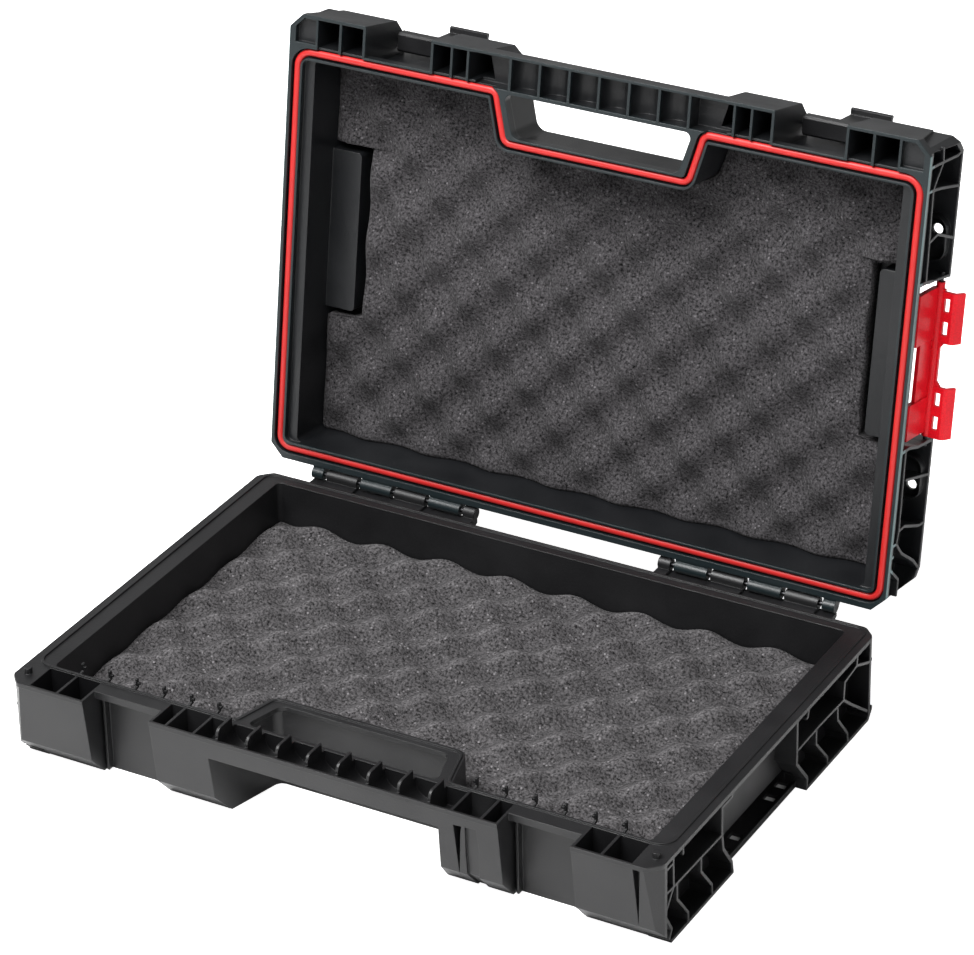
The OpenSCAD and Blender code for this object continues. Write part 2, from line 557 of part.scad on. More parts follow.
// Housing of the clip pocket inside the lid, g wider and e longer
module housing(g, e) {
    round_rect(pocket_x - wall - g, -54.5 * ky - e, side_x, 54.5 * ky + e, 3);
    translate([side_x - 5, -54.5 * ky - e]) square([5, 109 * ky + 2 * e]);
}
module lid_body() color([0.09, 0.09, 0.1]) {
    difference() {
        union() {
            difference() {
                intersection() {
                    slab(lz, lt) body_plan(y1l);
                    across(-hw, hw) polygon(lid_prof);
                }
                // open cells along the sides
                both() across(side_x, hw + 1) polygon(side_cell(chan_h));
                both() across(seal_x + chan + 1.2, hw + 1) polygon(side_cell(base_h + flange_t));
                // open band along the back
                across(-side_x, side_x) translate([lid_cav_y1 + wall, base_h + 9])
                    square([6, lid_h - 9 - wall]);
            }
            both() lid_ribs(lid_side, side_x - eps, rib_t);
            both() lid_ribs([lbay_f, lbay_b], side_x - eps, rib_t + 0.4);
            // ring bosses round the stacking holes
            both() slab(base_h + 43 * kw, lt - kw) for (y = [-92, 65])
                round_rect(side_x - 12, y * ky, hw - 2.5, (y + 30) * ky, 9);
            both() slab(base_h + pocket_up - wall, lt - 1) housing(0, 0);
            // stacking pads on the top
            for (x = [84, 196]) both() translate([x, y0 + 17, lt - 1]) cube([24, 8, 5]);
            for (x = [60, 170]) both() translate([x, y1l - 26, lt - 1]) cube([40, 8, 5]);
            // stiffening ribs in the band along the back
            both() for (x = [10, 45, 90, 125, 160, 195]) across(x, x + rib_t)
                translate([lid_cav_y1 + wall - 1, base_h + 8])
                    square([y1l - lid_cav_y1 - wall - 2, lid_h - 10]);
        }
        // compartment, wider at the rim along the sides
        difference() {
            slab(base_h - 1, top_in) lid_room(0);
            both() slab(base_h + pocket_up - wall, lt) housing(0, 0);
        }
        slab(base_h - 1, base_h + 4.6) difference() {
            round_rect(-lid_room_x, lid_cav_y0, lid_room_x, lid_cav_y1, 4.5);
            notch(notch_l);
        }
        // clip bay through the side, and its pocket open to the top
        both() across(side_x, hw + 1) polygon(bay(chan_h));
        both() across(seal_x + chan + 1.2, hw + 1) polygon(bay(base_h + flange_t));
        both() translate([pocket_x, -52 * ky, base_h + pocket_up])
            cube([hw - pocket_x + 5, 104 * ky, lid_h]);
        // inside of the ring bosses, and the stacking holes through the roof
        both() slab(base_h + 42 * kw, top_in) for (y = [-92, 65])
            round_rect(side_x - 2, (y + 1.8) * ky, hw - 4.3, (y + 28.2) * ky, 7.2);
        for (y = [-82, 86]) both() translate([side_x + 4.4, y * ky, lt - 6])
            cylinder(r = 3.4, h = 9, $fn = 32);
        // hand well and hand opening
        slab(base_h + bar_h, lt + 9) notch(notch_l - wall);
        slab(chan_h, base_h + bar_h + 1) intersection() {
            notch(notch_l - wall);
            translate([-hw, grip_y0]) square([case_w, 90]);
        }
        slab(base_h - 5, lt + 9) grip_hole();
        // pockets open at the rim, and the cells of the handle bar
        front_cells(lid_cells, lid_cell_prof);
        intersection() {
            bar_room(1);
            union() {
                for (i = [-3:2]) bar_cell(1, (i + 0.5) * bar_pitch);
                both() translate([3 * bar_pitch + rib_t / 2, y0, base_h - 1])
                    cube([bar_end - 3 * bar_pitch - rib_t / 2, bar_d, bar_h]);
            }
        }
        // deep pocket at each end of the bar, beside the wall of the hand well
        both() intersection() {
            across(70, 92.8) polygon(lid_cell_prof);
            slab(base_h - 1, top_in) difference() {
                translate([70, y0]) square([22.8, bar_d]);
                notch(notch_l);
            }
        }
        // sunk corner plates over the pegs
        intersection() {
            both() translate([hw - 19.4, y0 + 2.6, base_h - 1]) cube([15, 16.4, 5.6]);
            slab(base_h - 1, base_h + 9) soft(cut_pts(y1l, corner_cut), 1.2, -2.6);
        }
        // the sides stand back from the ends of the front blocks
        both() front_cut(5.4) polygon([[hw - corner_cut, base_h + 7.2], [hw + 1, base_h + 7.2],
            [hw + 1, lt + 1], [hw - 19, lt + 1]]);
        // latch recesses, open at the front and at the top
        both() translate([blk_in, y0 - 5, chan_h])
            cube([recess_w, lid_cav_y0 - wall - y0 + 5, lid_h + 5]);
        both() translate([blk_in, y0 - 5, base_h - 1])
            cube([recess_w, seal_y0 - chan - 1.4 - y0 + 5, chan_h - base_h + 2]);
        // groove of the sealing cord
        slab(base_h - 1, chan_top) seal_ring(2 * chan);
        // holes of the latch pins and the clip pins
        both() translate([blk_in - 6, q_y, q_z]) rotate([0, 90, 0])
            cylinder(r = pin_r, h = recess_w + 12, $fn = 32);
        both() translate([p_x, 62 * ky, p_z]) rotate([90, 0, 0])
            cylinder(r = pin_r, h = 123 * ky, $fn = 32);
    }
    // small posts at the ends of each latch recess
    both() for (x = [blk_in + 3.5, blk_out - 8]) translate([x, lid_cav_y0 - wall - 3.2, chan_h - 1])
        cube([4.5, 3.3, 9]);
    lid_knuckles();
}
module lid_knuckles() {
    difference() {
        both() for (i = [1, 3, 5]) translate([kn_at(i), 0, 0]) {
            translate([0, hinge_y, hinge_z]) rotate([0, 90, 0])
                cylinder(r = knuckle_r, h = kn_len[i]);
            across(0, kn_len[i]) polygon([[y1l - 1.5, hinge_z - 1.7], [hinge_y, hinge_z - 1.7],
                [hinge_y + 1, hinge_z + knuckle_r - 0.3], [hinge_y - 2, hinge_z + knuckle_r + 1.4],
                [y1l - 1.5, hinge_z + knuckle_r + 7]]);
        }
        both() translate([hinge_x - 1, hinge_y, hinge_z]) rotate([0, 90, 0])
            cylinder(r = pin_r + pin_fit, h = hinge_x1 - hinge_x + 2, $fn = 32);
    }
}
// Swings what rides on the lid to where the lid stands open
module on_lid() {
    translate([0, hinge_y, hinge_z]) rotate([-lid_open, 0, 0])
        translate([0, -hinge_y, -hinge_z]) children();
}
module lid_shell() on_lid() lid_body();

// ---------- seal and foam ----------
module lid_gasket() color([0.86, 0.1, 0.08]) on_lid() {
    for (k = [[1, 0.6], [0.8, 0.84], [0.44, 1]])
        slab(seal_z - k[0] * seal_t / 2, seal_z + k[0] * seal_t / 2) seal_ring(k[1] * seal_w);
}

// Block from z = 0 to h whose top waves between h and h - d in both directions
module crate(h, d) {
    nx = 2 * ceil(hw / crate_x) + 1;
    ny = 2 * ceil(hw * 0.75 / crate_y) + 1;
    w = 2 * nx + 1;
    m = 2 * ny + 1;
    top = [for (j = [-ny:ny], i = [-nx:nx])
        [crest_x + i * crate_x / 2, crest_y + j * crate_y / 2, abs(i + j) % 2 == 0 ? h : h - d]];
    mid = [for (j = [-ny:ny - 1], i = [-nx:nx - 1])
        [crest_x + (i + 0.5) * crate_x / 2, crest_y + (j + 0.5) * crate_y / 2, h - d / 2]];
    foot = [for (c = [0, w - 1, w * m - 1, w * (m - 1)]) [top[c][0], top[c][1], 0]];
    f = w * m + len(mid);
    polyhedron(concat(top, mid, foot), concat(
        [for (j = [0:m - 2], i = [0:w - 2], q = [0:3]) let (
            c = [j * w + i, j * w + i + 1, (j + 1) * w + i + 1, (j + 1) * w + i])
            [w * m + j * (w - 1) + i, c[(q + 1) % 4], c[q]]],
        [concat([for (i = [0:w - 1]) i], [f + 1, f]),
            concat([for (j = [0:m - 1]) j * w + w - 1], [f + 2, f + 1]),
            concat([for (i = [w - 1:-1:0]) (m - 1) * w + i], [f + 3, f + 2]),
            concat([for (j = [m - 1:-1:0]) j * w], [f, f + 3]),
            [f, f + 1, f + 2, f + 3]]));
}
module base_foam() color([0.3, 0.3, 0.3]) difference() {
    intersection() {
        translate([0, 0, 3]) crate(base_foam_t, base_dip);
        slab(3, 3 + base_foam_t) base_room(-foam_gap);
    }
    both() slab(2, bay_rise + wall + foam_gap) foot_block(foam_gap);
}
module lid_foam() color([0.22, 0.22, 0.22]) on_lid() difference() {
    intersection() {
        translate([0, 0, top_in - 0.02]) mirror([0, 0, 1]) crate(lid_foam_t, lid_dip);
        slab(top_in - lid_foam_t, top_in - 0.02) lid_room(-foam_gap);
    }
    both() slab(base_h, lt) housing(6, 4);
}

// ---------- hinge pins ----------
module hinge_pin(s) color([0.12, 0.12, 0.13])
    translate([s > 0 ? hinge_x : -hinge_x1, hinge_y, hinge_z]) rotate([0, 90, 0])
        cylinder(r = pin_r, h = hinge_x1 - hinge_x, $fn = 32);
module hinge_pin_left() hinge_pin(-1);
module hinge_pin_right() hinge_pin(1);

// ---------- front latches, drawn shut and flipped back ----------
hook_z = base_h - lip_h - 0.3;
module latch_body() {
    a = plate_y - q_y;
    difference() {
        union() {
            across(-latch_w / 2, latch_w / 2) translate([q_y, q_z]) polygon([[a, -6], [a, 4],
                [a + 1.5, 5.5], [a + latch_d - 1.5, 5.5], [a + latch_d, 4], [a + latch_d, -2],
                [a + latch_d - 3, -5.4], [a + 3, -6]]);
            across(-latch_w / 2, latch_w / 2) polygon([[plate_y, q_z - 5],
                [plate_y, base_h + 20], [plate_y + 3, base_h + 20], [plate_y + 3, q_z - 5]]);
            // tapering blade
            translate([0, plate_y + 3, 0]) rotate([90, 0, 0]) linear_extrude(3)
                polygon([[-latch_w / 2, base_h + 20 + eps], [-latch_tip_w / 2, base_h + 9],
                    [-latch_tip_w / 2, hook_z - 3], [latch_tip_w / 2, hook_z - 3],
                    [latch_tip_w / 2, base_h + 9], [latch_w / 2, base_h + 20 + eps]]);
            // hook under the flange and rolled finger edge
            across(-latch_tip_w / 2, latch_tip_w / 2) polygon([[plate_y + 1, hook_z - 3],
                [hook_y, hook_z - 2.2], [hook_y, hook_z], [plate_y + 1, hook_z]]);
            translate([-latch_tip_w / 2, hook_y - 1.1, hook_z - 1.7]) rotate([0, 90, 0])
                cylinder(r = 1.6, h = latch_tip_w, $fn = 32);
            translate([-latch_tip_w / 2, plate_y + 0.6, hook_z - 1.8]) rotate([0, 90, 0])
                cylinder(r = 1.8, h = latch_tip_w, $fn = 32);
        }
        translate([-latch_w, q_y, q_z]) rotate([0, 90, 0])
            cylinder(r = pin_r + pin_fit, h = 2 * latch_w, $fn = 32);
        // two sunk finger panels on the outer face
        for (s = [-1, 1]) translate([s * 9 - 7, plate_y - 1, base_h + 13]) cube([14, 1.8, 5]);
        translate([-9, plate_y - 1, base_h + 0.5]) cube([18, 1.8, 9]);
    }
}
module front_latch(s) color([0.1, 0.1, 0.11]) on_lid() translate([s * latch_x, 0, 0])
    translate([0, q_y, q_z]) rotate([180, 0, 0]) translate([0, -q_y, -q_z]) latch_body();
module front_latch_left() front_latch(-1);
module front_latch_right() front_latch(1);
module front_latch_pin(s) color([0.35, 0.35, 0.37]) on_lid()
    translate([s * latch_x - recess_w / 2 - 2.5, q_y, q_z]) rotate([0, 90, 0])
        cylinder(r = pin_r, h = recess_w + 5, $fn = 32);
module front_latch_pin_left() front_latch_pin(-1);
module front_latch_pin_right() front_latch_pin(1);

// ---------- side clips, drawn for the right side ----------
// Outline in (x, z) about the pivot, laid along the case from y = a to y = b
module along(a, b) {
    translate([p_x, b, p_z]) rotate([90, 0, 0]) linear_extrude(b - a) children();
}
module clip_body() {
    flap_f = [clip_y0, -14];
    flap_b = [24, clip_y1 - 3];
    wing_f = [clip_y0 + 2.5, -12];
    wing_b = [17, clip_y1];
    difference() {
        union() {
            along(clip_y0 - 3.4, clip_y1 - 0.5) circle(clip_r);
            // bridge and its two flaps
            along(clip_y0 + 1, clip_y1 - 3) polygon([[-4.2, -clip_drop + 8], [-1.8, -clip_drop + 8],
                [-1.2, -2], [0, 0], [-2.6, 0.8], [-4.2, -2]]);
            for (f = [flap_f, flap_b]) along(f[0], f[1]) polygon([[-5, -clip_drop + 1],
                [-3.8, -clip_drop], [-1.6, -clip_drop + 0.6], [-1.2, -clip_drop + 14],
                [-0.4, -2], [-2.6, 1], [-4.2, -2], [-4.6, -clip_drop + 12]]);
            // raised pad on each flap
            for (f = [[flap_f[0] + 6, flap_f[1] - 9], [flap_b[0] + 3, flap_b[1] - 4]])
                along(f[0], f[1]) polygon([[-4.4, -5], [-5.6, -7], [-5.6, -15], [-4.4, -17]]);
            // short lip of the bridge between the wings
            along(clip_y0 + 1, clip_y1 - 1) polygon([[-1, -1.4], [3.8, -1.4], [3.8, 1.2], [-1, 1.4]]);
            // wings with their turned-up lips
            for (g = [wing_f, wing_b]) along(g[0], g[1]) polygon([[0, -1.4], [clip_out - 1, -2.2],
                [clip_out + 1.4, -1.2], [clip_out + 4.4, 4.4], [clip_out + 2.4, 5.2],
                [clip_out - 0.6, 0.8], [0, 1.3]]);
            // root fillets where the wings run into the bridge
            for (y = [[-12, 1], [17, -1]]) translate([p_x + 3.6, y[0], p_z - 1.3])
                linear_extrude(2.3) polygon([[0, 0], [3, 0], [0, y[1] * 4]]);
        }
        // slots through the wings
        for (y = [-41, -26, 20.5, 36]) translate([p_x + 4.2, y, p_z - 5]) cube([3.6, 9, 9]);
        translate([p_x, clip_y1 + 20, p_z]) rotate([90, 0, 0])
            cylinder(r = pin_r + pin_fit, h = 140, $fn = 32);
    }
}
module side_clip(s) color([0.85, 0.1, 0.09]) on_lid() mirror([s < 0 ? 1 : 0, 0, 0]) clip_body();
module side_clip_left() side_clip(-1);
module side_clip_right() side_clip(1);
module side_clip_pin(s) color([0.35, 0.35, 0.37]) on_lid()
    translate([s * p_x, 57 * ky, p_z]) rotate([90, 0, 0]) cylinder(r = pin_r, h = 114 * ky, $fn = 32);
module side_clip_pin_left() side_clip_pin(-1);
module side_clip_pin_right() side_clip_pin(1);

base_shell();
lid_shell();
lid_gasket();
base_foam();
lid_foam();
hinge_pin_left();
hinge_pin_right();
front_latch_left();
front_latch_right();
front_latch_pin_left();
front_latch_pin_right();
side_clip_left();
side_clip_right();
side_clip_pin_left();
side_clip_pin_right();
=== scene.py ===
"""Hard tool case, shown open: two ribbed plastic shells, egg-crate foam, a red
sealing cord, flip latches and side clips. Laid out as an add-on, run as a script."""

from math import atan2, cos, pi, radians, sin

import bpy
import numpy as np
from bpy.props import FloatProperty, FloatVectorProperty
from mathutils import Matrix, Vector


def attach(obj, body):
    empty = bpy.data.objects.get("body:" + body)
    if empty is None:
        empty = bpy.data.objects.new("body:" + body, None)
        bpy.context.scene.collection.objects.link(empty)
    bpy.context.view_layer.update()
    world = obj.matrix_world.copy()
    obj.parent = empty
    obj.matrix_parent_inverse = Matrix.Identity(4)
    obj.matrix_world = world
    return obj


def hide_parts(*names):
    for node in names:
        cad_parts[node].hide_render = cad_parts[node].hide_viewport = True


bl_info = {
    "name": "Hard tool case",
    "version": (1, 0, 0),
    "blender": (4, 5, 0),
    "location": "View3D > Sidebar > Tool case",
    "description": "Builds the foam, cord, finishes and studio of a hard tool case",
    "category": "Object",
}

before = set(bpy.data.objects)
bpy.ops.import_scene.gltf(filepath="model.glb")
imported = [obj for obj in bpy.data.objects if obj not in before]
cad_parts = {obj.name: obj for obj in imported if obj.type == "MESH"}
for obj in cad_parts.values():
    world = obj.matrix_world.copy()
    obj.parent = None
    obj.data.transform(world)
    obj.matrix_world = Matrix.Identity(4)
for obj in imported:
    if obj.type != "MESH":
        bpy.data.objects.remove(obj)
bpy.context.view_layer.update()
MM = 0.001

# Sizes shared with the solids, in millimetres.
HINGE_Y, HINGE_Z = 160.0, 62.3
LID_OPEN = radians(99.4)
HALF_X = 207.1                      # half the width of the foam pads
CORNER_R = 3.2                      # their outer corners
CREST_X, CREST_Y = -5.2, -17.0      # a crest of their relief
WELL_X, WELL_Y = 65.3, -92.4        # back corner of the seal round the hand well
WELL_FRONT_X = 73.7                 # the same seal where it meets the front
WELL_R = 6.0                        # radius of its back corners
WELL_ARC_X = 60.66                  # middle of that arc
WELL_LEAN = 0.2593                  # sideways run of its sides for one step forward
WELL_LONG, WELL_COS = 1.0331, 0.968  # length and cosine that go with that lean
SEAL_X, SEAL_Y0, SEAL_Y1, SEAL_Z = 219.4, -124.8, 147.6, 63.2
SEAL_RADII = (10, 5, 6, 6, 5, 10, 7.9, 7.9)     # its corners, from the front left one
CORD_HALF_W, CORD_HALF_H = 2.35, 1.9
PAD_ROWS = 168                      # rows of points from the front of a pad to its back
EDGE_FADE, EDGE_ROUND = 9.0, 1.6    # how far from a pad's edge the relief is weaker, and lower
MEAN_DIP = 0.45                     # part of the depth at which the relief fades out
FLIP_Z = 120.0                      # the lid's pad is worked out at FLIP_Z less its height

# Where the lid's painted rim reflection and painted lip glare end, in metres: heights of the
# shut case, and distance from its middle.
RIM_REFLECTION_BAND = (0.0615, 0.0630)
LIP_GLARE_BAND = (0.0670, 0.0674)
LIP_GLARE_X = (0.2246, 0.2248)

# Studio, in metres: half the floor's side, its height, and how far the unlit middle reaches.
FLOOR_HALF, FLOOR_Z = 6.0, -0.0004
UNLIT_X, UNLIT_Y = 0.2165, 0.055

# The camera: focal length and image width in pixels, place in metres, turn in degrees.
FOCAL_PX, IMAGE_PX, SENSOR = 4223.3, 974.0, 36.0
CAMERA_AT = (1.13577, -1.92085, 1.42124)
AZIMUTH, ELEVATION, ROLL = 29.863, 28.993, -1.233


# ---------------------------------------------------------------- settings
class CaseSettings(bpy.types.PropertyGroup):
    """Colours and grain of the hard parts and the cord"""
    plastic_color: FloatVectorProperty(
        name="Plastic", description="Colour of the shells and latches",
        subtype="COLOR", size=4, min=0, max=1, default=(0.0066, 0.0066, 0.0073, 1))
    red_color: FloatVectorProperty(
        name="Red parts", description="Colour of the side clips",
        subtype="COLOR", size=4, min=0, max=1, default=(0.74, 0.008, 0.018, 1))
    cord_color: FloatVectorProperty(
        name="Sealing cord", description="Colour of the sealing cord",
        subtype="COLOR", size=4, min=0, max=1, default=(0.49, 0.0155, 0.0145, 1))
    grain: FloatProperty(
        name="Grain", description="Size of the moulded grain",
        default=0.0009, min=0.0002, max=0.005, unit="LENGTH")


class FoamSettings(bpy.types.PropertyGroup):
    """Relief and colours of the two foam pads"""
    pitch_x: FloatProperty(
        name="Pitch along X", description="Distance between crests in a row",
        default=0.0478, min=0.02, max=0.09, unit="LENGTH")
    pitch_y: FloatProperty(
        name="Pitch along Y", description="Distance between every second row",
        default=0.0458, min=0.02, max=0.09, unit="LENGTH")
    base_depth: FloatProperty(
        name="Base depth", description="Crest to valley in the base foam",
        default=0.0115, min=0.002, max=0.03, unit="LENGTH")
    lid_depth: FloatProperty(
        name="Lid depth", description="Crest to valley in the lid foam",
        default=0.0098, min=0.002, max=0.03, unit="LENGTH")
    base_color: FloatVectorProperty(
        name="Base foam", description="Colour of the base foam",
        subtype="COLOR", size=4, min=0, max=1, default=(0.046, 0.0440, 0.0455, 1))
    # the lid holds the same foam as the base; its colour is set darker, painted shade for the
    # pad that faces the front
    lid_color_painted_darker: FloatVectorProperty(
        name="Lid foam", description="Colour of the lid foam",
        subtype="COLOR", size=4, min=0, max=1, default=(0.034, 0.0322, 0.034, 1))


class StudioSettings(bpy.types.PropertyGroup):
    """Powers of the three lamps"""
    key: FloatProperty(
        name="Key light", description="Power of the large key light",
        default=132.0, min=0, max=400, unit="POWER")
    fill: FloatProperty(
        name="Fill light", description="Power of the fill light",
        default=9.0, min=0, max=400, unit="POWER")
    rim: FloatProperty(
        name="Rim light", description="Power of the light behind the left side",
        default=8.0, min=0, max=400, unit="POWER")


# ---------------------------------------------------------------- node help
def new_material(name):
    """An empty node material with a Principled shader on its output."""
    mat = bpy.data.materials.new(name)
    mat.use_nodes = True
    nt = mat.node_tree
    return mat, nt, nt.nodes["Principled BSDF"]


def add(nt, kind, **values):
    """Adds a node and sets its plain attributes and numbered or named inputs."""
    node = nt.nodes.new(kind)
    for key, value in values.items():
        if key.startswith("in_"):
            name = key[3:]
            node.inputs[int(name) if name.isdigit() else name].default_value = value
        else:
            setattr(node, key, value)
    return node


def feed(nt, target, source):
    """Links a socket to the target socket, or sets a plain value on it."""
    if isinstance(source, bpy.types.NodeSocket):
        nt.links.new(source, target)
    else:
        target.default_value = source


def noise(nt, vector, scale, detail=3.0, roughness=0.5):
    """Value of a noise texture read at a vector."""
    node = add(nt, "ShaderNodeTexNoise", in_Detail=detail, in_Roughness=roughness)
    feed(nt, node.inputs["Vector"], vector)
    feed(nt, node.inputs["Scale"], scale)
    return node.outputs["Fac"]


def ramp(nt, source, x0, x1, y0=0.0, y1=1.0):
    """Carries values from the span x0 to x1 over to the span y0 to y1, held at its ends."""
    node = add(nt, "ShaderNodeMapRange", in_1=x0, in_2=x1, in_3=y0, in_4=y1)
    feed(nt, node.inputs["Value"], source)
    return node.outputs[0]


def maths(nt, operation, *terms, clamp=False):
    """A sum, product or the like of sockets and numbers."""
    node = add(nt, "ShaderNodeMath", operation=operation, use_clamp=clamp)
    for target, term in zip(node.inputs, terms):
        feed(nt, target, term)
    return node.outputs[0]


def along(nt, vector, direction):
    """Dot product of a vector socket and a fixed direction."""
    node = add(nt, "ShaderNodeVectorMath", operation="DOT_PRODUCT")
    feed(nt, node.inputs[0], vector)
    feed(nt, node.inputs[1], direction)
    return node.outputs["Value"]


def scaled(nt, color, factor):
    """A colour times a factor."""
    node = add(nt, "ShaderNodeVectorMath", operation="SCALE")
    feed(nt, node.inputs[0], color)
    feed(nt, node.inputs["Scale"], factor)
    return node.outputs[0]


def blend(nt, factor, first, second):
    """The first colour where the factor is 0, the second where it is 1."""
    node = add(nt, "ShaderNodeMix", data_type="RGBA")
    feed(nt, node.inputs["Factor"], factor)
    feed(nt, node.inputs[6], first)
    feed(nt, node.inputs[7], second)
    return node.outputs[2]


def emboss(nt, bsdf, height, strength, distance, edge=0.0):
    """Feeds the shader's normal from a height, over edges rounded by a radius if given."""
    node = add(nt, "ShaderNodeBump", in_Strength=strength, in_Distance=distance)
    feed(nt, node.inputs["Height"], height)
    if edge:
        bevel = add(nt, "ShaderNodeBevel", samples=4, in_Radius=edge)
        nt.links.new(bevel.outputs["Normal"], node.inputs["Normal"])
    nt.links.new(node.outputs["Normal"], bsdf.inputs["Normal"])


def new_group(name, inputs, outputs):
    """A shader node group with named float, colour or vector sockets."""
    kinds = {"f": "NodeSocketFloat", "c": "NodeSocketColor", "v": "NodeSocketVector"}
    group = bpy.data.node_groups.new(name, "ShaderNodeTree")
    for label, kind, value in inputs:
        sock = group.interface.new_socket(name=label, in_out="INPUT", socket_type=kinds[kind])
        if value is not None:
            sock.default_value = value
    for label, kind in outputs:
        group.interface.new_socket(name=label, in_out="OUTPUT", socket_type=kinds[kind])
    return group, group.nodes.new("NodeGroupInput"), group.nodes.new("NodeGroupOutput")


def grain_group():
    """Spark-eroded grain: a fine noise gives the height and lightens its tops, and slow
    patches turn the colour and, by the amount Wear, the gloss."""
    if "moulded_grain" in bpy.data.node_groups:
        return bpy.data.node_groups["moulded_grain"]
    g, gi, go = new_group(
        "moulded_grain",
        [("Vector", "v", None), ("Scale", "f", 1100.0), ("Color", "c", (0, 0, 0, 1)),
         ("Roughness", "f", 0.45), ("Wear", "f", 0.3)],
        [("Color", "c"), ("Roughness", "f"), ("Height", "f")])
    given = gi.outputs
    fine = noise(g, given["Vector"], given["Scale"], 2.0, 0.6)
    slow = noise(g, given["Vector"], 14.0, 3.0, 0.55)
    shade = maths(g, "MULTIPLY", ramp(g, slow, 0.3, 0.7, 0.86, 1.16),
                  ramp(g, fine, 0.35, 0.65, 0.9, 1.12))
    feed(g, go.inputs["Color"], scaled(g, given["Color"], shade))
    gloss = maths(g, "MULTIPLY_ADD", ramp(g, slow, 0.35, 0.7, -0.12, 0.12), given["Wear"],
                  given["Roughness"])
    feed(g, go.inputs["Roughness"], gloss)
    feed(g, go.inputs["Height"], fine)
    return g


# ---------------------------------------------------------------- materials
def plastic(name, color, roughness, grain, bump, edge=0.0008, wear=0.8, gloss=0.5,
            rim=None, painted_lip_glare=None):
    """Moulded plastic: grain for colour, gloss and height, edges rounded a little.
    rim is a colour that paints a teal reflection on the flat rim of the open lid, and lip one
    that paints a lighter band, a painted reflection, on the outer sides of that rim. Both
    are found by the height above the floor when shut, which is
    HINGE_Z + (y - HINGE_Y) sin LID_OPEN + (z - HINGE_Z) cos LID_OPEN."""
    mat, nt, bsdf = new_material(name)
    place = add(nt, "ShaderNodeTexCoord").outputs["Object"]
    g = add(nt, "ShaderNodeGroup", node_tree=grain_group(), in_Scale=grain, in_Color=color,
            in_Roughness=roughness, in_Wear=wear)
    nt.links.new(place, g.inputs["Vector"])
    shade = g.outputs["Color"]
    # painted reflection: a teal tint over the flat rim band of the lid, and a lighter band over
    # the outer sides of that rim
    if rim:
        up = (0.0, sin(LID_OPEN), cos(LID_OPEN))
        foot = (HINGE_Y * up[1] + HINGE_Z * up[2] - HINGE_Z) * MM
        height = along(nt, place, up)
        shade = blend(nt, ramp(nt, height, foot + RIM_REFLECTION_BAND[1], foot + RIM_REFLECTION_BAND[0]), shade, rim)
        # painted reflection: the lighter band on the outer sides of the rim
        out = maths(nt, "ABSOLUTE", along(nt, place, (1.0, 0.0, 0.0)))
        lip_glare_mask = maths(nt, "MULTIPLY", ramp(nt, out, LIP_GLARE_X[0], LIP_GLARE_X[1]),
                        ramp(nt, height, foot + LIP_GLARE_BAND[1], foot + LIP_GLARE_BAND[0]))
        shade = blend(nt, lip_glare_mask, shade, painted_lip_glare)
    nt.links.new(shade, bsdf.inputs["Base Color"])
    nt.links.new(g.outputs["Roughness"], bsdf.inputs["Roughness"])
    bsdf.inputs["Specular IOR Level"].default_value = gloss
    emboss(nt, bsdf, g.outputs["Height"], bump, 0.0004, edge)
    return mat


def foam_material(name, color, sparkle, fuzz, crest=None):
    """Open cell foam: a fine noise for height and shade, rare cells that glint.
    crest = (pitch x, pitch y, amount) paints light along the crests of one diagonal wave, a
    painted highlight standing in for the light that the crests catch."""
    mat, nt, bsdf = new_material(name)
    place = add(nt, "ShaderNodeTexCoord").outputs["Object"]
    cells = noise(nt, place, 600.0, 3.0, 0.75)
    shade = maths(nt, "MULTIPLY", ramp(nt, cells, 0.33, 0.68, 0.02, 2.5),
                  ramp(nt, noise(nt, place, 22.0), 0.3, 0.7, 0.9, 1.1))
    if crest:
        # painted highlight: lighter colour along the crest lines of the wave that runs across
        # one diagonal, moved on by half a radian
        kx, ky = 2 * pi / crest[0], 2 * pi / crest[1]
        turn = maths(nt, "ADD", along(nt, place, (kx, -ky, 0.0)),
                     (ky * CREST_Y - kx * CREST_X) * MM + 0.5)
        crest_highlight = maths(nt, "COSINE", turn)
        shade = maths(nt, "MULTIPLY", shade, ramp(nt, crest_highlight, 0.1, 1.0, 1.0, 1.0 + crest[2]))
    # glints: near the centre of one cell in seven, five times as light as the rest
    spots = add(nt, "ShaderNodeTexVoronoi", in_Scale=470.0)
    nt.links.new(place, spots.inputs["Vector"])
    pick = add(nt, "ShaderNodeSeparateColor")
    nt.links.new(spots.outputs["Color"], pick.inputs[0])
    glint = maths(nt, "MULTIPLY", ramp(nt, pick.outputs[0], 0.86, 1.0),
                  ramp(nt, spots.outputs["Distance"], 0.44, 0.16), clamp=True)
    light = tuple(5.0 * c for c in color[:3]) + (1,)
    mix = blend(nt, maths(nt, "MULTIPLY", glint, sparkle), scaled(nt, color[:3], shade), light)
    nt.links.new(mix, bsdf.inputs["Base Color"])
    bsdf.inputs["Roughness"].default_value = 0.95
    bsdf.inputs["Specular IOR Level"].default_value = 0.1
    bsdf.inputs["Sheen Weight"].default_value = fuzz
    bsdf.inputs["Sheen Roughness"].default_value = 0.6
    emboss(nt, bsdf, cells, 0.8, 0.0012)
    return mat


def rubber_material(name, color):
    """Smooth soft rubber with slow patches in gloss."""
    mat, nt, bsdf = new_material(name)
    slow = noise(nt, add(nt, "ShaderNodeTexCoord").outputs["Object"], 60.0)
    feed(nt, bsdf.inputs["Roughness"], ramp(nt, slow, 0.3, 0.7, 0.34, 0.5))
    tint = scaled(nt, color[:3], ramp(nt, slow, 0.3, 0.7, 0.92, 1.05))
    feed(nt, bsdf.inputs["Base Color"], tint)
    emboss(nt, bsdf, slow, 0.15, 0.0005)
    return mat


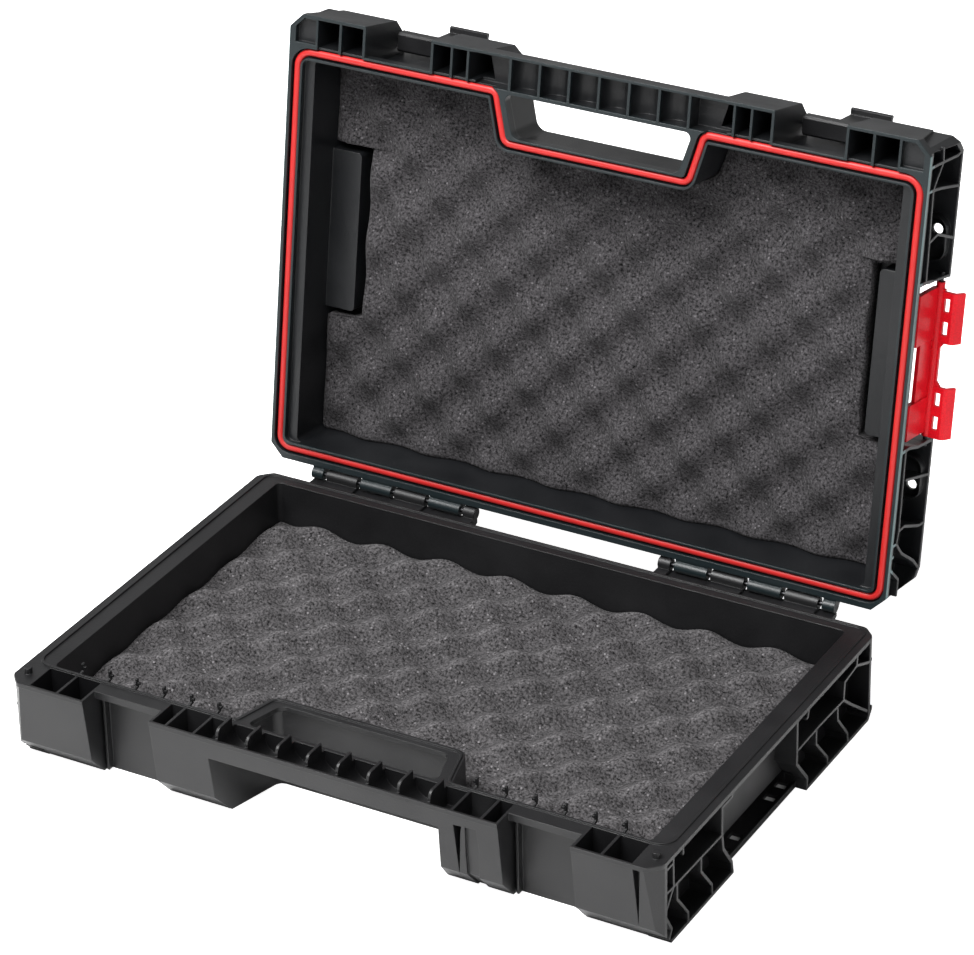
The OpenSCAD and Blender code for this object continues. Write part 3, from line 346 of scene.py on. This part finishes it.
def steel_material(name):
    """Blackened drawn steel: a fine noise in the gloss."""
    mat, nt, bsdf = new_material(name)
    fine = noise(nt, add(nt, "ShaderNodeTexCoord").outputs["Object"], 900.0)
    feed(nt, bsdf.inputs["Roughness"], ramp(nt, fine, 0.3, 0.7, 0.3, 0.5))
    bsdf.inputs["Metallic"].default_value = 1.0
    bsdf.inputs["Base Color"].default_value = (0.05, 0.05, 0.053, 1)
    return mat


# ---------------------------------------------------------------- mesh help
def to_mesh(name, points, faces, material):
    """Puts points in metres and a list of faces into a new smooth object at the origin."""
    mesh = bpy.data.meshes.new(name)
    mesh.from_pydata(points.reshape(-1, 3).tolist(), [], faces)
    mesh.validate()
    mesh.update()
    mesh.polygons.foreach_set("use_smooth", np.ones(len(mesh.polygons), dtype=bool))
    obj = bpy.data.objects.new(name, mesh)
    bpy.context.scene.collection.objects.link(obj)
    obj.data.materials.append(material)
    return obj


def grid_quads(rows, cols, close_rows=False, close_cols=False):
    """Quads of a grid whose points are numbered row by row."""
    r = np.arange(rows if close_rows else rows - 1)
    c = np.arange(cols if close_cols else cols - 1)
    i, j = np.meshgrid(r, c, indexing="ij")
    a = i * cols + j
    b = i * cols + (j + 1) % cols
    d = ((i + 1) % rows) * cols + j
    e = ((i + 1) % rows) * cols + (j + 1) % cols
    return np.stack([a, b, e, d], -1).reshape(-1, 4)


def swing(points):
    """Turns points of the shut lid about the hinge line to where the lid stands open."""
    y, z = points[..., 1] - HINGE_Y, points[..., 2] - HINGE_Z
    c, s = cos(-LID_OPEN), sin(-LID_OPEN)
    return np.stack([points[..., 0], HINGE_Y + y * c - z * s, HINGE_Z + y * s + z * c], -1)


# ---------------------------------------------------------------- foam
def front_edge(x, y_front, gap):
    """Front edge of the foam over x, gap behind the seal round the hand well. Beside the
    well it runs back along |x| = WELL_X + gap * WELL_LONG + WELL_LEAN * (WELL_Y - y), and
    an arc of radius WELL_R + gap turns it into the line y = WELL_Y + gap. The outer
    corners have radius CORNER_R."""
    ax = np.abs(x)
    radius = WELL_R + gap
    side = WELL_Y - (ax - WELL_X - gap * WELL_LONG) / WELL_LEAN
    dx = np.clip(ax - WELL_ARC_X, 0, radius * WELL_COS)
    arc = WELL_Y - WELL_R + np.sqrt(radius ** 2 - dx ** 2)
    y = np.maximum(np.where(ax < WELL_ARC_X + radius * WELL_COS, arc, side), y_front)
    return y + corner_drop(x)


def corner_drop(x):
    """How far a straight edge draws back at the pad's outer corners, a quarter circle."""
    d = np.clip(np.abs(x) - (HALF_X - CORNER_R), 0, CORNER_R)
    return CORNER_R - np.sqrt(np.maximum(CORNER_R ** 2 - d * d, 0))


def crate(x, y, px, py, lean):
    """Egg-crate height from -1 to 1: the product of two cosines, written as the mean of
    the waves cos(a - b) and cos(a + b) with weights lean and 2 - lean, with rounder crests."""
    a, b = 2 * pi * (x - CREST_X) / px, 2 * pi * (y - CREST_Y) / py
    h = (lean * np.cos(a - b) + (2 - lean) * np.cos(a + b)) / 2
    return h - 0.12 * (1 - h * h)


def sag(x, y, seed):
    """Slow unevenness of a soft pad: four sine waves of random direction and phase."""
    rng = np.random.default_rng(seed)
    fx, fy, phase = (rng.uniform(lo, hi, 4) for lo, hi in ((-0.05, 0.05), (-0.05, 0.05), (0, 6)))
    return sum(a * np.sin(p * x + q * y + r)
               for a, p, q, r in zip((0.5, 0.35, 0.3, 0.25), fx, fy, phase))


def columns():
    """Places across a pad, close together beside the hand well."""
    half = np.concatenate([np.linspace(-HALF_X, -79, 88), np.linspace(-78.5, -58.5, 41)])
    return np.concatenate([half, np.linspace(-57.5, 57.5, 78), -half[::-1]])


def pad_top(front_y, back_y, gap, crest, depth, wall_dip, lean, seed, pitch, pocket=None):
    """Top of a pad over (u across, v from front to back): crest - depth * (1 - crate) / 2,
    with half the relief and wall_dip less height at its edge. pocket = (half length, inset)
    draws the outer part in round the clip pockets of the lid."""
    X, V = np.meshgrid(columns(), np.linspace(0, 1, PAD_ROWS))
    back = back_y - corner_drop(X)
    front = front_edge(X, front_y, gap)
    Y = front + (back - front) * V
    drawn = 0.0
    if pocket:
        soft, still = 1.2, 150.0
        half, inset = pocket
        drawn = inset * np.clip((half + soft - np.abs(Y)) / soft, 0, 1)
        far = np.maximum(np.abs(X) - still, 0) / (HALF_X - still)
        X = np.sign(X) * (np.minimum(np.abs(X), still) + far * (HALF_X - drawn - still))
    edge = np.minimum(np.minimum(Y - front, back - Y), HALF_X - drawn - np.abs(X))
    relief = 1 - 0.5 * np.exp(-edge / EDGE_FADE)
    dip = (1 - crate(X, Y, pitch[0], pitch[1], lean)) / 2
    Z = crest - depth * (MEAN_DIP + (dip - MEAN_DIP) * relief) + sag(X, Y, seed)
    return np.stack([X, Y, np.minimum(Z - wall_dip * np.exp(-edge / EDGE_ROUND), crest)], -1)


def closed_pad(top, low, foot=None):
    """Points and faces of a slab: the top grid, walls down its outline, and a flat foot at
    low. foot = (half width, height, half length) narrows the part below that height, over
    that length about y = -1."""
    rows, cols = top.shape[:2]
    ring = np.concatenate([np.arange(cols), np.arange(1, rows) * cols + cols - 1,
                           (rows - 1) * cols + np.arange(cols - 2, -1, -1),
                           np.arange(rows - 2, 0, -1) * cols])
    flat = top.reshape(-1, 3)
    steps = [(False, low)]
    if foot:
        steps = [(False, foot[1] + 0.2), (True, foot[1]), (True, low)]
    levels = []
    for inner, z in steps:
        q = flat[ring].copy()
        q[:, 2] = z
        if inner:
            k = np.abs(q[:, 1] + 1.0) < foot[2]
            q[k, 0] = np.clip(q[k, 0], -foot[0], foot[0])
        levels.append(q)
    n, m = len(flat), len(ring)
    tall = [ring] + [n + i * m + np.arange(m) for i in range(len(levels))]
    walls = [np.stack([a, b, np.roll(b, -1), np.roll(a, -1)], -1)
             for a, b in zip(tall, tall[1:])]
    faces = grid_quads(rows, cols).tolist() + np.concatenate(walls).tolist()
    return np.concatenate([flat] + levels), faces + [tall[-1][::-1].tolist()]


# ---------------------------------------------------------------- sealing cord
def rounded_loop(points, radii, step=2.0):
    """A closed line through the corners, each turned by an arc of its radius, and
    points about a step apart along the straights and the arcs."""
    p = np.array(points, float)
    out = []
    n = len(p)
    for i in range(n):
        a = p[i - 1] - p[i]
        b = p[(i + 1) % n] - p[i]
        a, b = a / np.linalg.norm(a), b / np.linalg.norm(b)
        half = np.arccos(np.dot(a, b)) / 2
        r = radii[i]
        o = p[i] + (a + b) / np.linalg.norm(a + b) * r / sin(half)
        u = p[i] + a * r / np.tan(half) - o
        v = p[i] + b * r / np.tan(half) - o
        a0, a1 = atan2(u[1], u[0]), atan2(v[1], v[0])
        turn = (a1 - a0 + pi) % (2 * pi) - pi
        k = max(6, int(abs(turn) * r / step) + 2)
        t = a0 + turn * np.linspace(0, 1, k)
        out.append(o + r * np.stack([np.cos(t), np.sin(t)], -1))
    line = []
    for i in range(n):
        q, nx = out[i], out[(i + 1) % n]
        k = max(2, int(np.linalg.norm(nx[0] - q[-1]) / step))
        t = np.linspace(0, 1, k + 1)[1:-1, None]
        line += [q, q[-1] + (nx[0] - q[-1]) * t]
    return np.concatenate(line)


def sweep(loop, profile):
    """Carries a closed (across, up) profile round a closed flat loop: each point is the
    loop point plus its outward normal times across, raised by up."""
    d = np.roll(loop, -1, 0) - np.roll(loop, 1, 0)
    d /= np.linalg.norm(d, axis=1)[:, None]
    nrm = np.stack([d[:, 1], -d[:, 0]], -1)
    x = loop[:, None, 0] + nrm[:, None, 0] * profile[None, :, 0]
    y = loop[:, None, 1] + nrm[:, None, 1] * profile[None, :, 0]
    z = np.broadcast_to(profile[None, :, 1], x.shape)
    return np.stack([x, y, z], -1)


def seal_loop():
    """Middle line of the sealing cord: round the rim, and back round the hand well."""
    half = [(SEAL_X, SEAL_Y0), (WELL_FRONT_X, SEAL_Y0), (WELL_X, WELL_Y)]
    points = ([(-x, y) for x, y in half] + half[::-1]
              + [(SEAL_X, SEAL_Y1), (-SEAL_X, SEAL_Y1)])
    return rounded_loop(points, SEAL_RADII)


# ---------------------------------------------------------------- camera
def set_camera(scene):
    """The camera: placed by its position and turned by azimuth, elevation and roll."""
    az, el, roll = radians(AZIMUTH), radians(ELEVATION), radians(ROLL)
    cam = bpy.data.cameras.new("camera")
    cam.sensor_fit = "HORIZONTAL"
    cam.sensor_width = SENSOR
    cam.lens = SENSOR * FOCAL_PX / IMAGE_PX
    cam.clip_start, cam.clip_end = 0.05, 50
    obj = bpy.data.objects.new("camera", cam)
    fwd = Vector((-sin(az) * cos(el), cos(az) * cos(el), -sin(el)))
    right = Vector((cos(az), sin(az), 0))
    up = right.cross(fwd)
    across = right * cos(roll) + up * sin(roll)
    above = -right * sin(roll) + up * cos(roll)
    m = Matrix((across, above, -fwd)).transposed().to_4x4()
    m.translation = Vector(CAMERA_AT)
    obj.matrix_world = m
    scene.collection.objects.link(obj)
    scene.camera = obj


# ---------------------------------------------------------------- operators
def finish(node, material):
    """Puts a material in every slot of a carried-over solid."""
    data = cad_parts[node].data
    if not data.materials:
        data.materials.append(material)
    for i in range(len(data.materials)):
        data.materials[i] = material


class CASE_OT_shells(bpy.types.Operator):
    """Gives both shells their grained black plastic"""
    bl_idname = "tool_case.shells"
    bl_label = "Shells"

    def execute(self, context):
        s = context.scene.tool_case
        base = plastic("base_plastic", s.plastic_color, 0.44, 1.0 / s.grain, 0.35)
        # the lid a touch cooler; its rim gets a painted teal reflection and the outer sides of
        # the rim a painted light band
        r, g, b, _ = s.plastic_color
        lid = plastic("lid_plastic", (r * 0.95, g * 1.05, b * 1.1, 1), 0.41, 1.0 / s.grain, 0.35,
                      rim=(r * 0.9, g * 1.7, b * 1.8, 1), painted_lip_glare=(0.13, 0.2, 0.205, 1))
        finish("base_shell", base)
        finish("lid_shell", lid)
        return {"FINISHED"}


class CASE_OT_latches(bpy.types.Operator):
    """Finishes the front latches and the side clips"""
    bl_idname = "tool_case.latches"
    bl_label = "Latches and clips"

    def execute(self, context):
        s = context.scene.tool_case
        black = plastic("latch_plastic", s.plastic_color, 0.38, 1.0 / s.grain, 0.2)
        red = plastic("clip_plastic", s.red_color, 0.30, 1.0 / s.grain, 0.05,
                      edge=0.0005, wear=0.3, gloss=0.22)
        for side in ("left", "right"):
            finish("front_latch_" + side, black)
            finish("side_clip_" + side, red)
        return {"FINISHED"}


class CASE_OT_pins(bpy.types.Operator):
    """Finishes the steel pins"""
    bl_idname = "tool_case.pins"
    bl_label = "Pins"

    def execute(self, context):
        steel = steel_material("pin_steel")
        for side in ("left", "right"):
            for kind in ("hinge_pin_", "front_latch_pin_", "side_clip_pin_"):
                finish(kind + side, steel)
        return {"FINISHED"}


class CASE_OT_cord(bpy.types.Operator):
    """Lays the red sealing cord in the groove of the lid"""
    bl_idname = "tool_case.cord"
    bl_label = "Sealing cord"

    def execute(self, context):
        s = context.scene.tool_case
        t = np.linspace(0, 2 * pi, 20, endpoint=False)
        prof = np.stack([CORD_HALF_W * np.cos(t), SEAL_Z + CORD_HALF_H * np.sin(t)], -1)
        pts = swing(sweep(seal_loop(), prof))
        faces = grid_quads(*pts.shape[:2], close_rows=True, close_cols=True).tolist()
        rubber = rubber_material("cord_rubber", s.cord_color)
        obj = to_mesh("sealing_cord", pts * MM, faces, rubber)
        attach(obj, "lid")
        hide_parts("lid_gasket")
        return {"FINISHED"}


class CASE_OT_base_foam(bpy.types.Operator):
    """Lays the egg-crate foam in the base"""
    bl_idname = "tool_case.base_foam"
    bl_label = "Base foam"

    def execute(self, context):
        s = context.scene.tool_foam
        # 0.42: strength of the painted highlight along the crests
        mat = foam_material("base_foam_cells", s.base_color, 1.0, 0.02,
                            (s.pitch_x, s.pitch_y, 0.42))
        top = pad_top(front_y=-122.6, back_y=139.6, gap=2.9, crest=39.0,
                      depth=s.base_depth / MM, wall_dip=1.6, lean=1.3, seed=3,
                      pitch=(s.pitch_x / MM, s.pitch_y / MM))
        points, faces = closed_pad(top, low=3.0, foot=(199.6, 15.4, 54.5))
        obj = to_mesh("base_crate_foam", points * MM, faces, mat)
        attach(obj, "base")
        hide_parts("base_foam")
        return {"FINISHED"}


class CASE_OT_lid_foam(bpy.types.Operator):
    """Lays the egg-crate foam in the lid"""
    bl_idname = "tool_case.lid_foam"
    bl_label = "Lid foam"

    def execute(self, context):
        s = context.scene.tool_foam
        # lid foam: the base's foam, its colour painted darker as painted shade
        mat = foam_material("lid_foam_cells", s.lid_color_painted_darker, 0.8, 0.03)
        top = pad_top(front_y=-119.6, back_y=142.4, gap=5.2, crest=29.5,
                      depth=s.lid_depth / MM, wall_dip=1.2, lean=1.0, seed=7,
                      pitch=(s.pitch_x / MM, s.pitch_y / MM), pocket=(58.5, 27.3))
        points, faces = closed_pad(top, low=10.52)
        # worked out upside down, as a pad on a floor, and turned over into the shut lid
        points[:, 2] = FLIP_Z - points[:, 2]
        faces = [f[::-1] for f in faces]
        obj = to_mesh("lid_crate_foam", swing(points) * MM, faces, mat)
        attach(obj, "lid")
        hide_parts("lid_foam")
        return {"FINISHED"}


class CASE_OT_stage(bpy.types.Operator):
    """Sets the floor, the white surround, the lights and the camera"""
    bl_idname = "tool_case.stage"
    bl_label = "Stage"

    def execute(self, context):
        s = context.scene.tool_studio
        scene = context.scene
        # floor: white, and lifted for the camera so that it meets the surround
        mat, nt, bsdf = new_material("studio_floor")
        bsdf.inputs["Base Color"].default_value = (0.93, 0.93, 0.93, 1)
        bsdf.inputs["Roughness"].default_value = 0.9
        bsdf.inputs["Specular IOR Level"].default_value = 0.0
        # no lift under the middle of the case, which shows through the slots of its rails
        place = add(nt, "ShaderNodeTexCoord").outputs["Object"]
        clear = [maths(nt, "GREATER_THAN", maths(nt, "ABSOLUTE", along(nt, place, axis)), reach)
                 for axis, reach in (((1.0, 0.0, 0.0), UNLIT_X), ((0.0, 1.0, 0.0), UNLIT_Y))]
        seen = add(nt, "ShaderNodeLightPath").outputs["Is Camera Ray"]
        lift = maths(nt, "MULTIPLY", maths(nt, "MULTIPLY", seen, 0.92),
                     maths(nt, "MAXIMUM", *clear))
        glow = add(nt, "ShaderNodeEmission")
        nt.links.new(lift, glow.inputs["Strength"])
        both = add(nt, "ShaderNodeAddShader")
        nt.links.new(bsdf.outputs[0], both.inputs[0])
        nt.links.new(glow.outputs[0], both.inputs[1])
        nt.links.new(both.outputs[0], nt.nodes["Material Output"].inputs["Surface"])
        corners = np.array([[-1, -1], [1, -1], [1, 1], [-1, 1]]) * FLOOR_HALF
        points = np.column_stack([corners, np.full(4, FLOOR_Z)])
        floor = to_mesh("studio_floor", points, [[0, 1, 2, 3]], mat)
        # surround: white for the camera, dim for the rest, a little less dim in reflections
        world = bpy.data.worlds.new("studio_world")
        scene.world = world
        world.use_nodes = True
        wt = world.node_tree
        bg = wt.nodes["Background"]
        bg.inputs["Color"].default_value = (1, 1, 1, 1)
        path = add(wt, "ShaderNodeLightPath").outputs
        dim = maths(wt, "MULTIPLY_ADD", path["Is Glossy Ray"], 0.22, 0.14)
        strength = maths(wt, "MULTIPLY_ADD", path["Is Camera Ray"], 0.88, dim)
        wt.links.new(strength, bg.inputs["Strength"])
        # lamps
        for name, at, aim, width, height, power in (
                ("key", (-0.4, -1.1, 2.3), (0, 0, 0.1), 1.8, 1.4, s.key),
                ("fill", (1.9, -1.3, 1.2), (0, 0, 0.15), 1.2, 1.2, s.fill),
                ("rim", (-2.1, 0.7, 1.3), (0, 0, 0.05), 1.0, 0.8, s.rim)):
            lamp = bpy.data.lights.new(name, "AREA")
            lamp.shape = "RECTANGLE"
            lamp.size, lamp.size_y = width, height
            lamp.energy = power
            obj = bpy.data.objects.new(name, lamp)
            obj.location = at
            obj.rotation_euler = (Vector(aim) - Vector(at)).to_track_quat("-Z", "Y").to_euler()
            scene.collection.objects.link(obj)
        set_camera(scene)
        scene.view_settings.view_transform = "Standard"
        return {"FINISHED"}


# ---------------------------------------------------------------- panel and registration
class CASE_PT_panel(bpy.types.Panel):
    """Lists the pieces of the case"""
    bl_label = "Tool case"
    bl_idname = "CASE_PT_panel"
    bl_space_type = "VIEW_3D"
    bl_region_type = "UI"
    bl_category = "Tool case"

    def draw(self, context):
        for op in ORDER:
            self.layout.operator(op.bl_idname)
        for name, group in (("tool_case", CaseSettings), ("tool_foam", FoamSettings),
                            ("tool_studio", StudioSettings)):
            for key in group.__annotations__:
                self.layout.prop(getattr(context.scene, name), key)


ORDER = (CASE_OT_shells, CASE_OT_latches, CASE_OT_pins, CASE_OT_cord, CASE_OT_base_foam,
         CASE_OT_lid_foam, CASE_OT_stage)
CLASSES = (CaseSettings, FoamSettings, StudioSettings) + ORDER + (CASE_PT_panel,)


def register():
    """Registers the classes and hangs the settings on the scene."""
    for c in CLASSES:
        bpy.utils.register_class(c)
    bpy.types.Scene.tool_case = bpy.props.PointerProperty(type=CaseSettings)
    bpy.types.Scene.tool_foam = bpy.props.PointerProperty(type=FoamSettings)
    bpy.types.Scene.tool_studio = bpy.props.PointerProperty(type=StudioSettings)


def unregister():
    """Undoes register."""
    for name in ("tool_case", "tool_foam", "tool_studio"):
        delattr(bpy.types.Scene, name)
    for c in reversed(CLASSES):
        bpy.utils.unregister_class(c)


def main():
    """Builds everything."""
    register()
    for op in ORDER:
        group, name = op.bl_idname.split(".")
        getattr(getattr(bpy.ops, group), name)()


if __name__ == "__main__":
    main()
